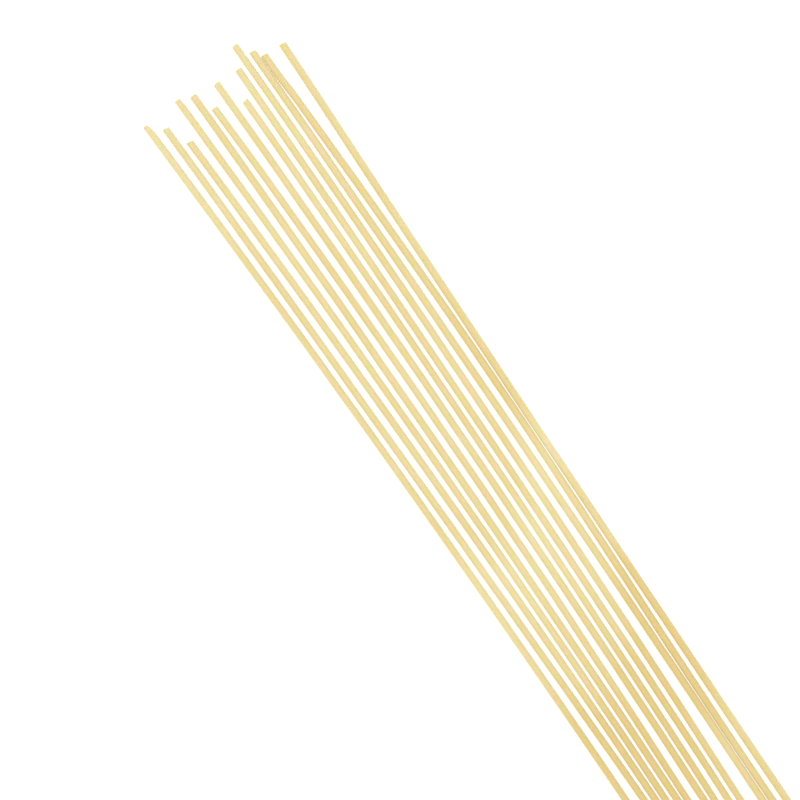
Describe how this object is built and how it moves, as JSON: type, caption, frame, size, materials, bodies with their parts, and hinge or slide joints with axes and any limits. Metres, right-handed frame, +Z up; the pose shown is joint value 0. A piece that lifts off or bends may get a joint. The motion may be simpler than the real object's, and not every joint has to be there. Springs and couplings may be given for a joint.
{
  "type": "bundle of dry spaghetti",
  "caption": "Loose bundle of thin round dry pasta strands lying side by side in one flat, slightly fanned layer, ends unevenly set back.",
  "frame": {"origin": "middle of the layer's underside, on the surface that the strands lie on", "axes": "+X along the strands, from the ends with the wider gaps to the ends that lie closer together; +Y across the layer; +Z up"},
  "size_m": [0.271, 0.0434, 0.0019],
  "materials": {
    "dry_dough": "smooth, slightly translucent, half matt",
    "dry_dough_deep": "smooth, slightly translucent, half matt, a deeper yellow"
  },
  "bodies": {
    "root": {"strand_01": "dry_dough", "strand_02": "dry_dough", "strand_03": "dry_dough", "strand_04": "dry_dough", "strand_05": "dry_dough", "strand_06": "dry_dough", "strand_07": "dry_dough", "strand_08": "dry_dough", "strand_09": "dry_dough", "strand_10": "dry_dough", "strand_11": "dry_dough", "strand_12": "dry_dough_deep", "strand_13": "dry_dough"}
  },
  "joints": []
}
